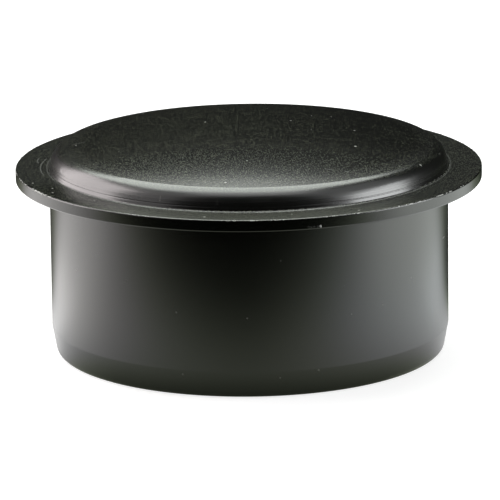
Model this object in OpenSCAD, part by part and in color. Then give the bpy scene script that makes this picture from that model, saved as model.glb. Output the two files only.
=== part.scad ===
// Air admittance valve for a soil stack: a domed cover on a spigot that pushes into the pipe's socket.
// Air comes in under the flange, through the windows at the top of the spigot, and lifts the valve
// off its two ring seats. The valve falls shut by its own weight.
// The frame stands on the spigot's lower rim, +Z up along the axis. All sizes are in millimetres.

/* [Spigot] */
// Outside diameter of the spigot, the pipe size that it fits
spigot_od = 110; // [100:0.5:160]
// Wall of the spigot
spigot_wall = 3.6; // [3.2:0.1:5]
// Height from the spigot's lower rim to the lower edge of the flange's rim
spigot_h = 48.5; // [36:0.5:90]
// Height of the tapered lead-in at the lower rim
lead_in_h = 7.5; // [3:0.5:15]
// Depth that the lead-in takes off the wall at the lower rim
lead_in_cut = 1.4; // [0.5:0.1:1.7]
// Rounding of the lower rim's outer edge
lead_in_round = 1.8; // [0.5:0.1:2.1]

/* [Flange] */
// How far the flange stands out past the spigot
flange_out = 9.3; // [7:0.1:16]
// Height of the flange's rim
flange_h = 3.3; // [2.8:0.1:6]
// Thickness of the flange's plate
plate_t = 1.8; // [1.4:0.1:2.4]
// Thickness of the flange's rim
rim_w = 2.4; // [1.5:0.1:4]
// Rounding of the rim's outer edges
rim_round = 0.4; // [0.2:0.05:0.7]

/* [Dome] */
// Height of the dome above the flange
dome_h = 11.5; // [10:0.1:20]
// How far the dome's foot stands out past the spigot
dome_foot_out = 0.2; // [-0.5:0.1:1.5]
// Lean of the dome's side wall, in degrees from upright
dome_lean = 19; // [8:0.5:26]
// Radius of the shoulder between the side wall and the crown
shoulder_r = 5; // [3.5:0.1:6.5]
// Height of the shoulder's centre above the flange
shoulder_z = 0.8; // [0.2:0.1:2.5]
// Wall of the dome
dome_wall = 2.4; // [1.8:0.1:3]
// Fillet where the side wall meets the flange
foot_fillet = 0.5; // [0.2:0.1:1.5]

/* [Air inlet] */
// Number of windows round the top of the spigot
window_count = 12; // [6:2:16]
// Width of the pillars between the windows
pillar_w = 6; // [4:0.5:10]
// How far the pillars stand back from the spigot's wall
pillar_inset = 0.8; // [0.6:0.1:1.2]
// How far the window sills lie below the flange's rim
sill_drop = 2; // [0.5:0.1:5]
// How far below the window sills the spigot's wall steps in to the pillars
step_drop = 0.4; // [0.2:0.1:0.8]
// Step under the flange that the pillars are welded into
weld_step = 0.6; // [0.3:0.1:0.9]
// Clearance of the pillars in that step
weld_clear = 0.15; // [0.05:0.05:0.4]
// How far the stop ribs under the flange reach below the rim
stop_drop = 1.1; // [0.3:0.1:2]
// Length of the stop ribs' level lower edge, on which the pipe socket's mouth stops
stop_len = 4; // [2:0.5:5]
// Thickness of the stop ribs
stop_t = 2; // [1.2:0.1:4]

/* [Insect screen] */
// Thickness of the screen
screen_t = 0.7; // [0.5:0.1:1.2]
// Clearance of the screen inside the spigot
screen_clear = 0.1; // [0.05:0.05:0.3]
// Gap between the screen and the cover
screen_gap = 0.2; // [0.1:0.1:0.5]
// Number of slots round the screen
slot_count = 120; // [60:2:120]
// Width of a slot
slot_w = 1.5; // [0.8:0.1:1.8]

/* [Valve seat] */
// Bore of the throat that leads down to the pipe
throat_d = 60; // [44:0.5:68]
// Wall of the throat
throat_wall = 2.4; // [1.6:0.1:4]
// Thickness of the floor round the throat
floor_t = 2.4; // [1.6:0.1:4]
// Room between the floor and the hub of the seat ring
floor_gap = 2.1; // [0.5:0.1:4]
// Clearance of the floor inside the spigot
floor_clear = 0.1; // [0.05:0.05:0.3]
// Width of the air gap between the spigot and the seat ring
plenum_w = 2.6; // [1.5:0.1:4]
// Wall of the seat ring's bowl
bowl_wall = 1.8; // [1.4:0.1:2.4]
// Depth of the bowl, from its upper edge to the seats
bowl_depth = 4.5; // [3:0.1:6]
// Thickness of the seat ring's deck
deck_t = 1.4; // [1:0.1:2.4]
// Width of the deck between the ports and the bowl
deck_w = 3.4; // [3:0.1:6]
// Height of the seat beads on the deck
bead_h = 0.8; // [0.4:0.1:1.5]
// Width of the seat beads
bead_w = 1.4; // [0.8:0.1:2]
// Distance of the outer bead's middle from the bowl
bead_inset = 1.9; // [1.8:0.1:2.6]
// Number of spokes across the air ports
seat_spokes = 8; // [4:1:16]
// Thickness of the seat ring's spokes
seat_spoke_t = 2.4; // [1.2:0.1:4]
// Depth of the seat ring's spokes
seat_spoke_h = 3.4; // [1.6:0.1:5]
// Wall of the hub that caps the throat
hub_wall = 1.8; // [1.4:0.1:3]
// Thickness of the hub over the throat's upper end, down from the seats
hub_cap = 2.5; // [1.6:0.1:4]
// Length of the hub round the throat
hub_grip = 4.5; // [2:0.1:6]
// Clearance of the hub round the throat
hub_clear = 0.2; // [0.05:0.05:0.4]
// Thickness of the gasket between the seat ring and the cover
gasket_t = 1; // [0.6:0.1:2]

/* [Valve] */
// Lift of the valve from its seats to the stop under the dome
valve_lift = 6; // [3:0.5:7]
// Gap between the valve's edge and the bowl
valve_gap = 1; // [0.5:0.1:1.2]
// Thickness of the rubber membrane
membrane_t = 1.5; // [1:0.1:2]
// Thickness of the membrane's lip, which grips the carrier's edge
lip_t = 0.8; // [0.5:0.1:1.2]
// How far the lip reaches over the carrier
lip_w = 2; // [1:0.1:4]
// Clearance of the carrier's edge in the lip
lip_clear = 0.1; // [0.05:0.05:0.2]
// Thickness of the carrier's ring
carrier_t = 1.6; // [1.2:0.1:2.2]
// Number of the carrier's spokes
carrier_spokes = 6; // [3:1:8]
// Thickness of the carrier's spokes
carrier_spoke_t = 2.4; // [1.4:0.1:4]
// Depth of the carrier's spokes
carrier_spoke_h = 2.6; // [1.6:0.1:4]
// Diameter of the guide pin under the dome
guide_d = 8; // [5:0.5:12]
// Clearance of the sleeve on the guide pin
guide_clear = 0.35; // [0.3:0.05:0.6]
// Wall of the sleeve
sleeve_wall = 2.6; // [1.6:0.1:4]
// How far the sleeve reaches below the seats
sleeve_drop = 1.5; // [0:0.1:4]
// How far the guide pin reaches below the sleeve
guide_drop = 2; // [0.5:0.1:6]
// Chamfer of the guide pin's tip
guide_chamfer = 0.8; // [0.3:0.1:1.5]
// Depth of the stop under the dome's crown
stop_h = 1.2; // [0.6:0.1:2.5]
// Gap left between the sleeve and that stop at full lift
stop_clear = 0.3; // [0.3:0.1:1]

/* [Hidden] */
$fn = 144;
overlap = 0.5;
cut = 1;

// Levels of the cover
plate_z = spigot_h + flange_h - plate_t;
flange_z = spigot_h + flange_h;
crown_z = flange_z + dome_h;
weld_z = plate_z + weld_step;

// Radii of the cover and the spigot
spigot_r = spigot_od / 2;
spigot_in_r = spigot_r - spigot_wall;
pillar_r = spigot_r - pillar_inset;
flange_r = spigot_r + flange_out;
foot_r = spigot_r + dome_foot_out;

// The dome's outline: a leaning wall, a round shoulder and a crown, each tangent to the next
shoulder_mid = [foot_r - (shoulder_r + shoulder_z * sin(dome_lean)) / cos(dome_lean), flange_z + shoulder_z];
crown_rise = crown_z - shoulder_mid.y;
crown_r = (shoulder_mid.x ^ 2 + crown_rise ^ 2 - shoulder_r ^ 2) / (2 * (crown_rise - shoulder_r));
crown_mid = [0, crown_z - crown_r];
crown_tilt = atan2(shoulder_mid.y - crown_mid.y, shoulder_mid.x);
foot_in_r = foot_r - dome_wall / cos(dome_lean);

// Levels of the windows, the seat ring and the throat
sill_z = spigot_h - sill_drop;
step_z = sill_z - step_drop;
bowl_z = plate_z - gasket_t;
seat_z = bowl_z - bowl_depth;
deck_z = seat_z - bead_h;
throat_z = seat_z - hub_cap;
hub_z = throat_z - hub_grip;
floor_z = hub_z - floor_gap;
ledge_z = floor_z - floor_t;

// Radii of the screen, the seat ring and the throat
screen_seat_r = spigot_in_r + screen_t + screen_clear;
bowl_out_r = spigot_in_r - plenum_w;
bowl_in_r = bowl_out_r - bowl_wall;
port_out_r = bowl_in_r - deck_w;
outer_bead_r = bowl_in_r - bead_inset;
throat_r = throat_d / 2;
throat_out_r = throat_r + throat_wall;
hub_in_r = throat_out_r + hub_clear;
hub_out_r = hub_in_r + hub_wall;
inner_bead_r = (throat_r + hub_out_r) / 2;

// Places of the valve at rest on its seats
valve_r = bowl_in_r - valve_gap;
carrier_r = valve_r - lip_t - lip_clear;
carrier_z = seat_z + membrane_t;
lip_z = carrier_z + carrier_t;
guide_r = guide_d / 2;
sleeve_in_r = guide_r + guide_clear;
sleeve_out_r = sleeve_in_r + sleeve_wall;
sleeve_z = seat_z - sleeve_drop;
guide_z = sleeve_z - guide_drop;
stop_z = crown_z - dome_wall - stop_h;
sleeve_top_z = stop_z - valve_lift - stop_clear;

// A rectangle in a section, from one radius and level to another
module block(r_in, r_out, low, high)
  translate([r_in, low]) square([r_out - r_in, high - low]);

// What a rounded corner loses, for a corner at the origin whose solid lies towards +X and +Y
module corner_waste(r)
  difference() {
    translate([-cut, -cut]) square(r + cut);
    translate([r, r]) circle(r);
  }

// Flat bars that run out from the axis like spokes, between two radii and two levels
module spokes(count, width, r_in, r_out, low, high)
  for (i = [0 : count - 1])
    rotate(i * 360 / count)
      translate([r_in, -width / 2, low])
        cube([r_out - r_in, width, high - low]);

// Half section of all that lies under the dome's outline, drawn in by the given depth
module dome_section(depth) {
  r = shoulder_r - depth;
  wall_top = shoulder_mid + r * [cos(dome_lean), sin(dome_lean)];
  wall_foot = [wall_top.x + (wall_top.y - flange_z) * tan(dome_lean), flange_z];
  crown_edge = shoulder_mid + r * [cos(crown_tilt), sin(crown_tilt)];
  polygon([[0, flange_z], wall_foot, wall_top, shoulder_mid, crown_edge, [0, crown_edge.y]]);
  intersection() {
    translate(shoulder_mid) circle(r);
    block(0, foot_r, flange_z, crown_z);
  }
  intersection() {
    translate(crown_mid) circle(crown_r - depth);
    block(0, crown_edge.x, shoulder_mid.y, crown_z);
  }
}

// Small fillet in the corner between the dome's side wall and the flange
module foot_fillet_section() {
  mid = [foot_r + foot_fillet * (1 - sin(dome_lean)) / cos(dome_lean), flange_z + foot_fillet];
  wall_end = mid - foot_fillet * [cos(dome_lean), sin(dome_lean)];
  difference() {
    polygon([[foot_r - overlap, flange_z - overlap], [mid.x, flange_z - overlap], mid, wall_end]);
    translate(mid) circle(foot_fillet);
  }
}

// Guide pin, the stop round its root and the skirt that presses on the gasket
module cover_inside_section()
  intersection() {
    union() {
      polygon([
        [0, guide_z], [guide_r - guide_chamfer, guide_z], [guide_r, guide_z + guide_chamfer],
        [guide_r, crown_z], [0, crown_z]
      ]);
      block(0, sleeve_out_r, stop_z, crown_z);
      block(bowl_in_r, bowl_out_r, plate_z, crown_z);
    }
    union() {
      dome_section(dome_wall / 2);
      block(0, foot_in_r, guide_z, flange_z);
    }
  }

module cover_section() {
  difference() {
    union() {
      dome_section(0);
      foot_fillet_section();
      block(0, flange_r, plate_z, flange_z);
      block(flange_r - rim_w, flange_r, spigot_h, flange_z);
    }
    dome_section(dome_wall);
    block(0, foot_in_r, plate_z - cut, flange_z);
    block(0, pillar_r + weld_clear, plate_z - cut, weld_z);
    translate([flange_r, flange_z]) rotate(180) corner_waste(rim_round);
    translate([flange_r, spigot_h]) rotate(90) corner_waste(rim_round);
  }
  cover_inside_section();
}

// Ribs under the flange that hold the socket's mouth off it, so that the way in for air stays open
module stop_ribs() {
  rib_in_r = pillar_r + weld_clear;
  rib_out_r = flange_r - rim_w + overlap;
  for (i = [0 : window_count - 1])
    rotate((i + 0.5) * 360 / window_count)
      translate([0, stop_t / 2, 0])
        rotate([90, 0, 0])
          linear_extrude(stop_t)
            polygon([
              [rib_in_r, plate_z + overlap], [rib_in_r, spigot_h - stop_drop],
              [rib_in_r + stop_len, spigot_h - stop_drop], [rib_out_r, spigot_h],
              [rib_out_r, plate_z + overlap]
            ]);
}

module cover()
  color("#202022") {
    rotate_extrude() cover_section();
    stop_ribs();
  }

// Windows for the air, open at the top until the cover closes them
module windows() {
  window_w = 2 * spigot_r * sin(180 / window_count) - pillar_w;
  for (i = [0 : window_count / 2 - 1])
    rotate(i * 360 / window_count)
      translate([-spigot_od, -window_w / 2, sill_z])
        cube([2 * spigot_od, window_w, weld_z + cut - sill_z]);
}

// What the lower rim's outer edge loses by its rounding, between the level rim and the lead-in
module lower_rim_waste() {
  tilt = atan2(lead_in_cut, lead_in_h);
  rim_edge = spigot_r - lead_in_cut;
  mid = [rim_edge + lead_in_round * (sin(tilt) - 1) / cos(tilt), lead_in_round];
  difference() {
    polygon([mid, [mid.x, -cut], [rim_edge + cut, -cut], mid + lead_in_round * [cos(tilt), -sin(tilt)]]);
    translate(mid) circle(lead_in_round);
  }
}

// Spigot with its lead-in, the ledge for the throat plate, and the pillars that carry the cover
module spigot_body()
  color("#1c1c1e")
    difference() {
      rotate_extrude()
        difference() {
          polygon([
            [spigot_in_r, 0], [spigot_r - lead_in_cut, 0], [spigot_r, lead_in_h], [spigot_r, step_z],
            [pillar_r, step_z], [pillar_r, weld_z], [screen_seat_r, weld_z], [screen_seat_r, ledge_z],
            [spigot_in_r, ledge_z]
          ]);
          lower_rim_waste();
        }
      windows();
    }

// Floor that parts the inlet from the pipe, with the throat that rises from it
module throat_plate()
  color("#242426")
    rotate_extrude() {
      block(throat_r, screen_seat_r - floor_clear, ledge_z, floor_z);
      block(throat_r, throat_out_r, ledge_z, throat_z);
    }

// Seat ring: a bowl with two raised seats and the air ports between them
module seat_ring()
  color("#2a2a2c") {
    rotate_extrude() {
      difference() {
        block(throat_r, hub_out_r, hub_z, deck_z);
        block(throat_r - cut, hub_in_r, hub_z - cut, throat_z);
      }
      block(inner_bead_r - bead_w / 2, inner_bead_r + bead_w / 2, throat_z, seat_z);
      block(port_out_r, bowl_out_r, deck_z - deck_t, deck_z);
      block(outer_bead_r - bead_w / 2, outer_bead_r + bead_w / 2, deck_z - deck_t, seat_z);
      block(bowl_in_r, bowl_out_r, deck_z - deck_t, bowl_z);
    }
    spokes(seat_spokes, seat_spoke_t, hub_out_r - overlap, port_out_r + overlap,
      deck_z - seat_spoke_h, deck_z);
  }

module cover_gasket()
  color("#101010")
    rotate_extrude()
      block(bowl_in_r, bowl_out_r, bowl_z, plate_z);

// Screen: a thin ring that stands on the throat plate, slotted where it lies behind the windows
module insect_screen()
  color("#3a3c3e")
    difference() {
      rotate_extrude()
        block(spigot_in_r, spigot_in_r + screen_t, floor_z, weld_z - screen_gap);
      spokes(slot_count, slot_w, spigot_in_r - cut, spigot_in_r + screen_t + cut,
        sill_z, plate_z - screen_gap);
    }

// Carrier of the valve: a ring on spokes, with a sleeve that runs on the guide pin
module valve_carrier()
  color("#2e3033") {
    rotate_extrude() {
      block(throat_r, carrier_r, carrier_z, lip_z);
      block(sleeve_in_r, sleeve_out_r, sleeve_z, sleeve_top_z);
    }
    spokes(carrier_spokes, carrier_spoke_t, sleeve_out_r - overlap, throat_r + overlap,
      carrier_z, carrier_z + carrier_spoke_h);
  }

// Membrane: a flat rubber ring under the carrier, stretched over the carrier's outer edge
module membrane()
  color("#141414")
    rotate_extrude() {
      block(throat_r, valve_r, seat_z, carrier_z);
      block(valve_r - lip_t, valve_r, seat_z, lip_z + lip_t);
      block(valve_r - lip_t - lip_w, valve_r, lip_z, lip_z + lip_t);
    }

cover();
spigot_body();
throat_plate();
seat_ring();
cover_gasket();
insect_screen();
valve_carrier();
membrane();
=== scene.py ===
# %% [markdown]
# # A domed pipe valve in black plastic
#
# The object is an air admittance valve for a drainage stack: a low domed cover with a wide flange, on
# a straight spigot that pushes into a pipe's socket. All of it that shows is black moulded plastic.
# The shapes come ready at their real size, as a fixed frame. This lesson gives them their finish: it
# sets up the camera, the floor and the light, writes the materials as expressions, and adds the small
# marks that a mould, a trimming knife and handling leave on such a part.

import math
import random

import bmesh
import bpy
from mathutils import Euler, Matrix, Vector, noise


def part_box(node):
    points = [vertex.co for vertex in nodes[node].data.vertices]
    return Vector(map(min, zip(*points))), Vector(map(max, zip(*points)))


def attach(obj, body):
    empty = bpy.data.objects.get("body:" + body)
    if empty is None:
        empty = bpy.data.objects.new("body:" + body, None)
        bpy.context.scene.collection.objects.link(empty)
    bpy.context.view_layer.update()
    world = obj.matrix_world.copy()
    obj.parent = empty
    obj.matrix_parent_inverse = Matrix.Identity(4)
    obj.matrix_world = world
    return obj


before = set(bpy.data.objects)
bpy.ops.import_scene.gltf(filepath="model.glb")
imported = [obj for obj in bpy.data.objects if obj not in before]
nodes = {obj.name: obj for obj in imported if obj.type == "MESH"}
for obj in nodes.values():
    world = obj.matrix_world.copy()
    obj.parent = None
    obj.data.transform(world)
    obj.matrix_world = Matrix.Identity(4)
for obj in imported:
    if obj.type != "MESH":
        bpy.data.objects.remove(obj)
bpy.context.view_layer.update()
scene = bpy.context.scene
scene.view_settings.view_transform = "Standard"

MM = 0.001
DOME_HEIGHT = 11.5
_, cover_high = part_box("cover")
FLANGE_EDGE = cover_high.x / MM
FLANGE_Z = round(cover_high.z / MM - DOME_HEIGHT, 2)
print("nodes:", sorted(nodes))
print("flange radius and level of its top in mm:", round(FLANGE_EDGE, 2), FLANGE_Z)

# %% [markdown]
# ## Camera
#
# The part is seen a little from above, through a long lens from about a metre and a half, so its
# ellipses are almost those of a parallel view. The elevation, the lens and the small roll were worked
# out from the ellipses of the flange and the spigot. A camera looks along its own -Z, so a tilt about
# X and then a roll about its own axis are enough.

# %% Camera
PHOTO_PX = 500
FOCAL_PX = 5416.9
SENSOR_MM = 36.0
ELEVATION = math.radians(14.28)
DISTANCE = 1.5
ROLL = math.radians(-0.64)
AIM = Vector((0.1 * MM, 0.0, 27.37 * MM))

camera_data = bpy.data.cameras.new("camera")
camera_data.sensor_width = SENSOR_MM
camera_data.lens = FOCAL_PX * SENSOR_MM / PHOTO_PX
camera_data.clip_start = 0.05
camera_data.clip_end = 50.0
camera = bpy.data.objects.new("camera", camera_data)
scene.collection.objects.link(camera)
tilt = Euler((math.pi / 2 - ELEVATION, 0.0, 0.0)).to_matrix()
roll = Matrix.Rotation(ROLL, 3, "Z")
camera.rotation_euler = (tilt @ roll).to_euler()
camera.location = AIM + DISTANCE * Vector((0.0, -math.cos(ELEVATION), math.sin(ELEVATION)))
scene.camera = camera
print("lens in mm:", round(camera_data.lens, 1))

# %% [markdown]
# ## Shader expressions
#
# Most of the finishes below are sums and products of noise and of masks. Node by node they would be
# long to write and hard to read, so this small class wraps a socket: an operator between two of them
# adds a Math node. `1.0 - mask` works too, because the reflected forms are there.


# %% Sockets as values
class Sock:
    """A socket in a node tree. Operators on it add Math nodes."""

    def __init__(self, wiring, socket):
        self.wiring = wiring
        self.socket = socket

    def math(self, operation, *others):
        values = dict(enumerate((self, *others)))
        return self.wiring.make("ShaderNodeMath", {"operation": operation}, by_place=values)

    def __add__(self, other):
        return self.math("ADD", other)

    __radd__ = __add__

    def __mul__(self, other):
        return self.math("MULTIPLY", other)

    __rmul__ = __mul__

    def __sub__(self, other):
        return self.math("SUBTRACT", other)

    def __rsub__(self, other):
        return (self * -1.0) + other

    def __truediv__(self, other):
        return self.math("DIVIDE", other)

    def __rtruediv__(self, other):
        return (self ** -1.0) * other

    def __pow__(self, other):
        return self.math("POWER", other)

    def __abs__(self):
        return self.math("ABSOLUTE")

    def smooth(self, low, high):
        """0 at low, 1 at high, and a smooth step between them. Low may be the larger one."""
        step = {"interpolation_type": "SMOOTHSTEP"}
        return self.wiring.make("ShaderNodeMapRange", step, Value=self, From_Min=low, From_Max=high)


print("sockets work as values")

# %% [markdown]
# ## Materials as objects
#
# `make` adds any other node: it takes the node's type, its settings, which are set first, and what
# its sockets get, by name, or by place where two sockets have one name. `Finish` is a material made
# with it. The world is wired with it too, so it is a class of its own.


# %% Wiring
class Wiring:
    """The node tree of a material or of the world."""

    def __init__(self, holder):
        holder.use_nodes = True
        self.tree = holder.node_tree
        self.tree.nodes.clear()

    def feed(self, socket, value):
        """Links a Sock to a socket, or sets a plain value on it."""
        if isinstance(value, Sock):
            self.tree.links.new(value.socket, socket)
        else:
            socket.default_value = value

    def make(self, kind, settings=None, out=0, by_place=None, **by_name):
        """Adds a node and gives one of its outputs."""
        node = self.tree.nodes.new(kind)
        for key, value in (settings or {}).items():
            setattr(node, key, value)
        for place, value in (by_place or {}).items():
            self.feed(node.inputs[place], value)
        for key, value in by_name.items():
            self.feed(node.inputs[key.replace("_", " ")], value)
        return Sock(self, node.outputs[out]) if node.outputs else None

    def choose(self, factor, first, second):
        """The first shader where the factor is 0, the second where it is 1."""
        return self.make("ShaderNodeMixShader", by_place={0: factor, 1: first, 2: second})


class Finish(Wiring):
    """A material that is built up by expressions on Object coordinates."""

    def __init__(self, name):
        self.material = bpy.data.materials.new(name)
        super().__init__(self.material)
        self.place = self.make("ShaderNodeTexCoord", out="Object")

    def parts(self, vector):
        apart = self.make("ShaderNodeSeparateXYZ", Vector=vector).socket.node
        return [Sock(self, socket) for socket in apart.outputs]

    def split(self):
        """The three coordinates in millimetres."""
        return [part * (1.0 / MM) for part in self.parts(self.place)]

    def join(self, x, y, z):
        return self.make("ShaderNodeCombineXYZ", X=x, Y=y, Z=z)

    def mix(self, factor, first, second):
        """A colour between two colours."""
        sockets = {0: factor, 6: first, 7: second}
        return self.make("ShaderNodeMix", {"data_type": "RGBA"}, out=2, by_place=sockets)

    def noise(self, scale, detail=2.0, rough=0.5, place=None):
        look = {"Scale": scale, "Detail": detail, "Roughness": rough}
        return self.make("ShaderNodeTexNoise", Vector=place or self.place, **look)

    def bump(self, height, depth):
        """A bump whose height of 1 is that depth in metres."""
        return self.make("ShaderNodeBump", Height=height, Distance=depth, Strength=1.0)

    def scatter(self, scale, place):
        """Points strewn over a plane: the distance to the nearest, and two random values of it."""
        near = self.make("ShaderNodeTexVoronoi", {"voronoi_dimensions": "2D"}, Vector=place, Scale=scale)
        lot, size, _ = self.parts(Sock(self, near.socket.node.outputs["Color"]))
        return near, lot, size

    def specks(self, scale, place, edge, rare):
        """Dust: a few of the strewn points, each a round speck of its own size."""
        near, lot, size = self.scatter(scale, place)
        return (1.0 - (near / (size * 0.8 + 0.3)).smooth(*edge)) * lot.smooth(rare, rare + 0.02)

    def plastic(self, **inputs):
        return self.make("ShaderNodeBsdfPrincipled", **inputs)

    def show(self, shader):
        self.make("ShaderNodeOutputMaterial", Surface=shader)
        return self.material


def away_from(x, y, mid_x, mid_y):
    """The level distance from an upright line, from two coordinates."""
    off_x = x - mid_x
    off_y = y - mid_y
    return (off_x * off_x + off_y * off_y) ** 0.5


print("wiring ready")

# %% [markdown]
# ## Floor
#
# The part stands on a white sheet. A sheet that is white by its light alone would need lamps that are
# far too strong for the part, so the sheet is pale grey paper, and only the camera sees it lifted to
# white. The lift is added to the paper's own light, so the part's shadow on it stays.
#
# Black plastic shows hardly any colour of its own: the wall of the spigot is a mirror of this sheet.
# The lamps below light the sheet too evenly for that, so what glossy rays meet here is written out
# as a product of masks in millimetres. It fades out towards the camera and right behind the part,
# and it is dimmer close in front. At the sides it is bright, a little warm on the left and cool on
# the right, up to a slanting edge behind the part. Past that edge it is dark, which darkens the
# outline of the rim and of the wall, so that both stand out against the white.
# It is painted light: a painted reflection, with painted shadow behind the part and close in front.

# %% Floor sheet
SHEET_HALF = 1.5

sheet_mesh = bmesh.new()
bmesh.ops.create_grid(sheet_mesh, x_segments=1, y_segments=1, size=SHEET_HALF)
floor_data = bpy.data.meshes.new("floor_sheet")
sheet_mesh.to_mesh(floor_data)
sheet_mesh.free()
floor = bpy.data.objects.new("floor_sheet", floor_data)
scene.collection.objects.link(floor)
print("floor sheet", 2 * SHEET_HALF, "m square")

# %% Floor in the plastic's mirror
# Strength of the painted reflection that glossy rays see on the sheet.
PAINTED_GLOW = 1.6

paper = Finish("floor_white")
x, y, z = paper.split()
fades_forward = (y + x.math("MAXIMUM", 0.0) * 0.3).smooth(-178, 40)
near_left = 1.0 + (y - x).smooth(260, 60) * x.smooth(20, -40) * y.smooth(-45, 20) * 0.4
far_left = 1.0 + x.smooth(-60, -100) * y.smooth(152, 118) * y.smooth(20, 70) * 0.17
in_wedge = 1.0 - (abs(x) / y.math("MAXIMUM", 1.0)).smooth(0.12, 0.2) * 0.4
far_behind = 1.0 - in_wedge * y.smooth(240, 320)
# Painted shadow right behind the part, and painted shade close in front of it.
painted_shadow_behind = away_from(x, y, 8, 115).smooth(76, 138)
painted_shade_in_front = away_from(x, y, 0, -40).smooth(10, 120) * 0.63 + 0.37
slant = y / (abs(x) * 0.95 - x * 0.05).math("MAXIMUM", 1.0)
beside = 1.0 - slant.smooth(0.48, 1.12) * 0.87 - slant.smooth(1.15, 1.7) * 0.11
close_by = 1.0 + y.smooth(0, 25) * away_from(x, y, 0, 0).smooth(180, 120) * 0.2
# Painted contact shadow round the part's foot, in front.
painted_contact_shadow = 1.0 - away_from(x, y, 0, 0).smooth(70, 52) * y.smooth(5, -45) * 0.7
# The painted glow: a painted reflection, with its painted shadows.
painted_glow = fades_forward * near_left * far_left * far_behind * painted_shadow_behind * painted_shade_in_front
painted_glow = painted_glow * beside * close_by * painted_contact_shadow * PAINTED_GLOW

bright = painted_glow.smooth(0.0, 0.9)
warm = x.smooth(-50, -120)
cool = x.smooth(30, 110)
red = painted_glow * (1.0 - cool * 0.05)
green = painted_glow * (1.12 - bright * 0.12 - warm * 0.02)
blue = painted_glow * (0.8 + bright * 0.2 - warm * 0.04 - x.smooth(100, 180) * 0.05)
# Painted reflection: an emission that only glossy rays see.
painted_reflection = paper.make("ShaderNodeEmission", Color=paper.join(red, green, blue))
print("mirrored sheet:", len(paper.tree.nodes), "nodes")

# %% Floor as the camera sees it
PALE = (0.5, 0.5, 0.5, 1.0)
LIFT = 0.75

is_camera = paper.make("ShaderNodeLightPath", out="Is Camera Ray")
is_glossy = paper.make("ShaderNodeLightPath", out="Is Glossy Ray")
matt_paper = paper.make("ShaderNodeBsdfDiffuse", Color=PALE)
lift = paper.make("ShaderNodeEmission", Color=is_camera * LIFT)
seen = paper.make("ShaderNodeAddShader", by_place={0: matt_paper, 1: lift})
floor_data.materials.append(paper.show(paper.choose(is_glossy, seen, painted_reflection)))
print("floor lifted by", LIFT, "for the camera")

# %% [markdown]
# ## Soft boxes
#
# The lamps are laid out by what has to be seen in the plastic. A large box on the left makes the wide
# pale patch on the dome's shoulder, and a low one on the right the narrow patch there. A wide box
# overhead leans in from behind: its lower edge, softened by the plastic, is the fade over the crown
# from pale in front to dark at the back. It is turned about its own axis, because that fade is
# darker on the right. Three weak boxes fill in, so that no face is quite black. In front the room is
# dark, and so is the middle of the wall.

# %% Soft boxes
TOWARDS = Vector((0.0, 0.0, 0.03))


def soft_box(name, azimuth, elevation, distance, size, radiance, colour, lean=0.0):
    """An area lamp that faces the part. Azimuth counts from the camera's side, positive to the right.

    A lean turns the lamp about its own axis.
    """
    turn = math.radians(azimuth)
    rise = math.radians(elevation)
    level = distance * math.cos(rise)
    place = TOWARDS + Vector((level * math.sin(turn), -level * math.cos(turn), distance * math.sin(rise)))
    data = bpy.data.lights.new(name, "AREA")
    data.shape = "RECTANGLE"
    data.size, data.size_y = size
    data.energy = radiance * math.pi * size[0] * size[1]
    data.color = colour
    lamp = bpy.data.objects.new(name, data)
    scene.collection.objects.link(lamp)
    lamp.location = place
    facing = (TOWARDS - place).to_track_quat("-Z", "Y").to_matrix()
    lamp.rotation_euler = (facing @ Matrix.Rotation(math.radians(lean), 3, "Z")).to_euler()
    lamp.visible_camera = False
    print(name, "power in W:", round(data.energy, 2))


soft_box("box_left", -109, 22, 0.8, (0.78, 0.62), 4.0, (1.0, 0.93, 0.93))
soft_box("box_right", 80, 16, 0.8, (0.54, 0.31), 5.0, (0.98, 1.0, 1.0))
soft_box("box_top", 194, 66.6, 1.0, (1.05, 0.95), 3.8, (0.95, 1.0, 0.94), lean=-18)
soft_box("fill_left", -72, 34, 0.9, (0.8, 0.8), 0.6, (1.0, 0.97, 0.97))
soft_box("fill_right", 76, 36, 0.9, (0.9, 0.8), 0.6, (0.98, 1.0, 1.0))
soft_box("fill_top", 0, 76, 1.0, (0.9, 0.4), 1.4, (1.0, 1.0, 1.0))

# %% [markdown]
# ## World
#
# Behind the part the camera sees plain white. Everything else sees an almost dark room, so that the
# soft boxes alone shape the light. Light Path tells the two kinds of ray apart, which needs no second
# backdrop in the scene.

# %% World
ROOM = 0.01
WHITE = (1.0, 1.0, 1.0, 1.0)

world = bpy.data.worlds.new("studio")
scene.world = world
studio = Wiring(world)
backdrop = studio.make("ShaderNodeBackground", Color=WHITE)
dim_room = studio.make("ShaderNodeBackground", Color=WHITE, Strength=ROOM)
to_camera = studio.make("ShaderNodeLightPath", out="Is Camera Ray")
studio.make("ShaderNodeOutputWorld", Surface=studio.choose(to_camera, dim_room, backdrop))
print("world is white to the camera,", ROOM, "to the rest")

# %% [markdown]
# ## The cover: where each finish lies
#
# The cover is one moulding with four kinds of face: the blasted crown, the turned wall of the dome,
# the blasted flange and the rim. A mask for each could come from a painted vertex group, but the
# part is round, so height and distance from the axis tell them apart, and the masks stay exact at any
# mesh density. All of them are in millimetres.

# %% Cover faces
FOOT_R = 55.2

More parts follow.
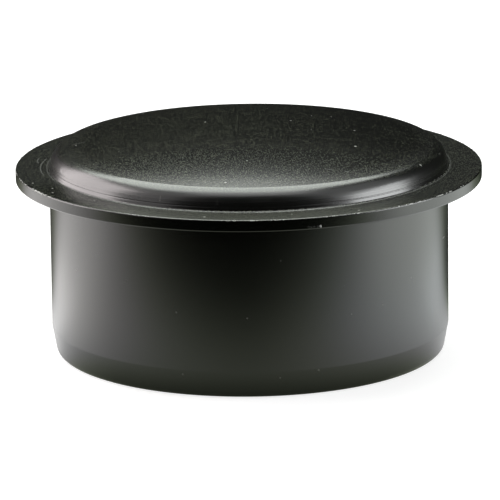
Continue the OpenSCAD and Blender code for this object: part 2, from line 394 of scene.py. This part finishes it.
cover_skin = Finish("cover_plastic")
x, y, z = cover_skin.split()
r = away_from(x, y, 0, 0)
on_crown = z.smooth(FLANGE_Z + 4.2, FLANGE_Z + 5.6)
on_flange = z.smooth(FLANGE_Z + 0.5, FLANGE_Z + 0.2) * z.smooth(FLANGE_Z - 0.25, FLANGE_Z - 0.1)
on_shoulder = z.smooth(FLANGE_Z + 7.0, FLANGE_Z + 5.8) * z.smooth(FLANGE_Z + 0.8, FLANGE_Z + 2.7)
on_wall = (1.0 - on_crown) * z.smooth(FLANGE_Z + 0.3, FLANGE_Z + 0.7)
on_rim = z.smooth(FLANGE_Z, FLANGE_Z - 0.3) * r.smooth(FLANGE_EDGE - 0.6, FLANGE_EDGE - 0.2)
# The front of the flange, where more grains are painted light.
painted_light_flange_front = on_flange * y.smooth(-40, -56)
print("cover masks:", len(cover_skin.tree.nodes), "nodes")

# %% [markdown]
# ## The cover: relief
#
# The mould's top was blasted with sand, so the crown and the flange have an even fine relief, and the
# rim a weaker one. The dome's wall was turned on a lathe, which leaves rings: noise that changes with
# the height and hardly at all round the wall. One ring just above the foot is deeper, where two plates
# of the mould meet. All of them are summed into one height, so that one Bump node is enough.

# %% Cover relief
SEAM_Z = FLANGE_Z + 1.2
SAND_SCALE = 900.0
RING_SCALE = 1300.0
RELIEF = 0.018 * MM

sand = cover_skin.noise(SAND_SCALE, detail=2.0, rough=0.7)
sandy = on_crown + on_flange + on_rim * 0.6 + 0.2
along_z = cover_skin.join(x * 0.00002, y * 0.00002, z * 0.001)
rings = cover_skin.noise(RING_SCALE, detail=2.0, place=along_z)
tooling = rings * on_wall * 1.1
seam = (1.0 - abs(z - SEAM_Z).smooth(0.05, 0.22)) * 1.5
surface = cover_skin.bump(sand * sandy + tooling - seam, RELIEF)
print("relief of", RELIEF / MM, "mm")

# %% [markdown]
# ## The cover: grain, as painted glints
#
# The blasted faces glitter, as each pit catches a little light. A bump as fine as that is lost between
# two pixels, so the glints are painted as colour: pale grains strewn by a Voronoi texture on a dark
# ground. The texture's plane is skewed, so that no rows show. A second random value decides which
# grains are there, and it is shifted to paint light and shade: fewer grains on the right and towards
# the back of the crown are painted shade, more on the front of the flange are painted light. Faint
# streaks across the top faces are where they were wiped.

# %% Cover grain
GRAINS_PER_METRE = 3300.0
STREAK_SCALE = 600.0

skewed = cover_skin.join((x * 0.87 - y * 0.28) * MM, (x * 0.5 + y * 0.48) * MM, 0.0)
near_grit, grit_lot, _ = cover_skin.scatter(GRAINS_PER_METRE, skewed)
# Painted shade: fewer grains on the right and back of the crown; painted light: more on the flange's
# front.
painted_shade_right = x.smooth(-40, 30) * 0.18
painted_shade_back = y.smooth(5, 40) * 0.06 + (y.smooth(-34, -8) - 0.5) * abs(x).smooth(10, 35) * 0.2
painted_light_and_shade = on_crown * (painted_shade_right + painted_shade_back - 0.04) - painted_light_flange_front * 0.6
# Painted glints: pale grains on the blasted faces.
painted_glints = (1.0 - near_grit.smooth(0.24, 0.42)) * (grit_lot - painted_light_and_shade).smooth(0.62, 0.7)
across = cover_skin.join(x * 0.00005, y * 0.001, 0.0)
streak = cover_skin.noise(STREAK_SCALE, place=across).smooth(0.55, 0.75)
# Extra weight on the flange's front is painted light.
sanded_and_painted_light = on_crown + on_flange * 0.8 + painted_light_flange_front * 0.15
painted_glints_and_streaks = (painted_glints + streak * 0.1) * sanded_and_painted_light
print("grain with", len(cover_skin.tree.nodes), "nodes so far")

# %% [markdown]
# ## The cover: dust, hairs, ticks and a painted highlight
#
# Handling leaves a few pale specks of dust, thin curved scratches and two short upright ticks low on
# the dome's wall. A scratch is a stretch of a circle's line: the middle and the radius of the circle,
# and between which two values of x it shows. The ticks are given by their turn round the axis and
# their strength. A thin pale line round the dome's foot is a painted highlight on its fillet.

# %% Cover marks
HAIRS = (
    (-20.0, -0.8, 37.4, -58.0, -55.9),
    (-48.0, 7.0, 10.5, -58.9, -57.9),
    (-46.8, 39.3, 40.0, -48.8, -44.8),
    (21.5, -2.5, 35.0, 20.2, 22.8),
    (26.3, -4.0, 34.0, 25.6, 27.2),
)
TICKS = ((-25.9, 0.8), (-9.0, 0.35))

speck = cover_skin.specks(170.0, cover_skin.place, (0.02, 0.07), 0.90)
hairs = 0.0
for mid_x, mid_y, radius, low_x, high_x in HAIRS:
    line = 1.0 - abs(away_from(x, y, mid_x, mid_y) - radius).smooth(0.08, 0.22)
    hairs = hairs + line * x.smooth(low_x, low_x + 0.3) * x.smooth(high_x, high_x - 0.3)
hairs = hairs * (on_flange + on_crown)

tick_height = z.smooth(FLANGE_Z + 1.6, FLANGE_Z + 1.9) * z.smooth(FLANGE_Z + 3.4, FLANGE_Z + 2.8)
low_on_wall = y.smooth(0.0, -1.0) * tick_height
for turn, strength in TICKS:
    angle = math.radians(turn)
    line = 1.0 - abs(x * math.cos(angle) + y * math.sin(angle)).smooth(0.06, 0.18)
    hairs = hairs + line * low_on_wall * strength

# Painted highlight: a thin pale ring round the dome's foot.
foot_highlight_ring = 1.0 - abs(r - (FOOT_R + 0.45)).smooth(0.08, 0.3)
painted_foot_highlight = foot_highlight_ring * z.smooth(FLANGE_Z + 1.0, FLANGE_Z + 0.5)
print(len(HAIRS), "hairs and", len(TICKS), "ticks")

# %% [markdown]
# ## The cover: colour and gloss
#
# The plastic is almost black, a little green, and its colour only counts where a grain or a mark lies.
# Its gloss does the rest. A plastic's index of refraction is about 1.5, but with that the mirrored
# sheet and boxes come out too weak, and stronger lamps would light the part further above a plain
# level. So the index is 1.9. On the left of the flange the surface is rubbed dull, and a second shader
# without any mirror is mixed in there: more roughness would only have spread the glare.

# %% Cover plastic
INK = (0.0014, 0.0018, 0.0009, 1.0)
GLINT_PALE = (0.104, 0.113, 0.082, 1.0)
DUST = (0.30, 0.30, 0.28, 1.0)
# The colour of hairs and ticks, and of the painted highlight round the foot.
HAIR_AND_HIGHLIGHT = (0.1, 0.104, 0.096, 1.0)
SKIN_IOR = 1.9
PLAIN_IOR = 1.5

# Painted glints and painted shade of the grains, and wipe streaks.
colour = cover_skin.mix(painted_glints_and_streaks, INK, GLINT_PALE)
colour = cover_skin.mix(hairs.math("MINIMUM", 1.0), colour, HAIR_AND_HIGHLIGHT)
# The painted highlight round the dome's foot.
colour = cover_skin.mix(painted_foot_highlight * 0.6, colour, HAIR_AND_HIGHLIGHT)
colour = cover_skin.mix(speck, colour, DUST)
matt = 0.205 + on_flange * 0.055 + on_wall * 0.035 + on_shoulder * 0.04 + speck * 0.3
skin = {"Base_Color": colour, "Normal": surface}
clean = cover_skin.plastic(**skin, Roughness=matt, IOR=SKIN_IOR)
dull = cover_skin.plastic(**skin, Roughness=0.8, Specular_IOR_Level=0.0)
rubbed = on_flange * x.smooth(-28, -44) * y.smooth(-16, -28) * 0.45
cover_plastic = cover_skin.show(cover_skin.choose(rubbed, clean, dull))
print("cover plastic:", len(cover_skin.tree.nodes), "nodes")

# %% [markdown]
# ## The spigot's plastic
#
# The spigot is the same black plastic from a polished half of the mould, because it has to slide into
# a rubber seal. So it has no grain: a slight waviness in its gloss, a fine unevenness and a few specks
# of dust. The specks are strewn in the upright plane that faces the camera, since on a level plane they
# would be drawn out to lines down the wall. The throat plate and the seat ring are of this plastic too.

# %% Spigot plastic
FINE_SCALE = 2200.0
WAVE_SCALE = 45.0
UNEVEN = 0.004 * MM

spigot_skin = Finish("spigot_plastic")
x, y, z = spigot_skin.split()
fine = spigot_skin.noise(FINE_SCALE, detail=2.0)
waves = spigot_skin.noise(WAVE_SCALE, detail=3.0)
speck = spigot_skin.specks(110.0, spigot_skin.join(x * MM, z * MM, 0.0), (0.015, 0.045), 0.78)
spigot_shader = spigot_skin.plastic(
    Base_Color=spigot_skin.mix(speck * 0.4, INK, DUST),
    Roughness=waves * 0.06 + 0.23 + speck * 0.2,
    Normal=spigot_skin.bump(fine + waves * 2.0, UNEVEN),
    IOR=SKIN_IOR,
)
spigot_plastic = spigot_skin.show(spigot_shader)
print("spigot plastic:", len(spigot_skin.tree.nodes), "nodes")

# %% [markdown]
# ## The pieces inside
#
# The valve's carrier and the insect screen are moulded in dark grey plastic, the membrane and the
# gasket are soft black rubber with a dull bloom. None of them shows in this view, so one function is
# enough: a colour that drifts towards a second one, and a fine unevenness.


# %% Inside finishes
def plain_finish(name, colour, worn, rough, depth):
    """A moulded finish: a colour that drifts a little towards another one, and a fine unevenness."""
    finish = Finish(name)
    drift = finish.noise(90.0, detail=3.0).smooth(0.35, 0.75)
    fine = finish.noise(1800.0, detail=2.0)
    shader = finish.plastic(
        Base_Color=finish.mix(drift, colour, worn),
        Roughness=drift * 0.1 + rough,
        Normal=finish.bump(fine, depth),
        IOR=PLAIN_IOR,
    )
    return finish.show(shader)


CARRIER_GREY = (0.05, 0.052, 0.056, 1.0)
CARRIER_WORN = (0.06, 0.062, 0.066, 1.0)
SCREEN_GREY = (0.09, 0.092, 0.095, 1.0)
SCREEN_WORN = (0.105, 0.107, 0.11, 1.0)
RUBBER_BLACK = (0.012, 0.012, 0.012, 1.0)
RUBBER_BLOOM = (0.02, 0.02, 0.019, 1.0)
carrier_plastic = plain_finish("carrier_plastic", CARRIER_GREY, CARRIER_WORN, 0.36, UNEVEN)
screen_plastic = plain_finish("screen_plastic", SCREEN_GREY, SCREEN_WORN, 0.4, UNEVEN)
rubber = plain_finish("seal_rubber", RUBBER_BLACK, RUBBER_BLOOM, 0.62, 2 * UNEVEN)

FINISHES = {
    "cover": cover_plastic,
    "spigot_body": spigot_plastic,
    "throat_plate": spigot_plastic,
    "seat_ring": spigot_plastic,
    "cover_gasket": rubber,
    "insect_screen": screen_plastic,
    "valve_carrier": carrier_plastic,
    "membrane": rubber,
}
for name, material in FINISHES.items():
    if name in nodes:
        data = nodes[name].data
        data.materials.clear()
        data.materials.append(material)
        print(name, "wears", material.name)

# %% [markdown]
# ## Nicks and flash on the rim
#
# The rim's sharp upper edge has been knocked: small torn bits stand up from it and catch the light.
# A bump can't do that, as they break the outline, so each is a tiny ball, drawn out along the edge and
# roughened. They come in clusters, and five bolder ones stand on the left. Low on the rim's face, at
# the front right, the mould left three lumps of flash, and beside them a fourth is torn and pale like
# the nicks.

# %% Lumps on the rim
NICK_EDGE_R = FLANGE_EDGE - 0.12
NICK_Z = FLANGE_Z - 0.12
FLASH_Z = FLANGE_Z - 2.5
FLASH_OUT = 0.16
ROUGHNESS_SCALE = 6000.0
ROUGHEN = 0.5


def lump(mesh, turn, radius, height, size):
    """A roughened ball on the rim, stretched along it.

    Turn counts from the front, positive to the right.
    """
    angle = math.radians(turn)
    spot = Vector((radius * math.sin(angle), -radius * math.cos(angle), height)) * MM
    along, out, up = (v * MM for v in size)
    turned = Matrix.Translation(spot) @ Matrix.Rotation(angle, 4, "Z")
    shape = turned @ Matrix.Diagonal((along, out, up, 1.0))
    made = bmesh.ops.create_icosphere(mesh, subdivisions=2, radius=1.0, matrix=shape)
    for vert in made["verts"]:
        vert.co += (vert.co - spot) * ROUGHEN * noise.noise(vert.co * ROUGHNESS_SCALE)


def piece(name, mesh, material):
    data = bpy.data.meshes.new(name)
    bmesh.ops.recalc_face_normals(mesh, faces=mesh.faces)
    mesh.to_mesh(data)
    mesh.free()
    data.materials.append(material)
    obj = bpy.data.objects.new(name, data)
    scene.collection.objects.link(obj)
    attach(obj, "housing")
    print(name, "has", len(data.polygons), "faces")
    return obj


print("nicks at", round(NICK_Z, 2), "mm, flash at", round(FLASH_Z, 2), "mm")

# %% Nicks
CLUSTERS = ((-67, -56, 18), (-30, -24, 4), (-6, 10, 8), (17, 27, 8), (38, 58, 12), (60, 300, 40))
NICK_LONG = (0.2, 0.9)
NICK_OUT = (0.07, 0.14)
NICK_HIGH = (0.07, 0.16)
BOLD_NICKS = ((-65.8, 0.5), (-64.2, 0.8), (-62.3, 0.9), (-60.4, 0.6), (-58.6, 0.4))
BOLD_OUT = 0.22
BOLD_HIGH = 0.32
TORN_LUMP = (17.05, 0.3, 0.35)
TORN_DARK = (0.22, 0.23, 0.22, 1.0)
TORN_PALE = (0.6, 0.6, 0.58, 1.0)

dice = random.Random(7)
nick_mesh = bmesh.new()
for low, high, count in CLUSTERS:
    for _ in range(count):
        size = (dice.uniform(*NICK_LONG), dice.uniform(*NICK_OUT), dice.uniform(*NICK_HIGH))
        lump(nick_mesh, dice.uniform(low, high), NICK_EDGE_R, NICK_Z, size)
for turn, long in BOLD_NICKS:
    lump(nick_mesh, turn, NICK_EDGE_R, NICK_Z, (long, BOLD_OUT, BOLD_HIGH))
torn_turn, torn_long, torn_high = TORN_LUMP
lump(nick_mesh, torn_turn, FLANGE_EDGE, FLASH_Z, (torn_long, FLASH_OUT, torn_high))

torn = Finish("torn_plastic")
frayed = torn.noise(1500.0)
torn_shader = torn.plastic(
    Base_Color=torn.mix(frayed.smooth(0.35, 0.65), TORN_DARK, TORN_PALE),
    Roughness=frayed * 0.3 + 0.4,
    IOR=PLAIN_IOR,
)
rim_nicks = piece("rim_nicks", nick_mesh, torn.show(torn_shader))

# %% Flash
FLASH = ((14.35, 0.6, 0.3), (15.4, 0.3, 0.2), (16.4, 0.3, 0.3))

flash_mesh = bmesh.new()
for turn, long, high in FLASH:
    lump(flash_mesh, turn, FLANGE_EDGE, FLASH_Z, (long, FLASH_OUT, high))
rim_flash = piece("rim_flash", flash_mesh, cover_plastic)

# %% [markdown]
# ## End
#
# The marks should hardly make the part bigger than its solids.

# %% End
print("scene ready")
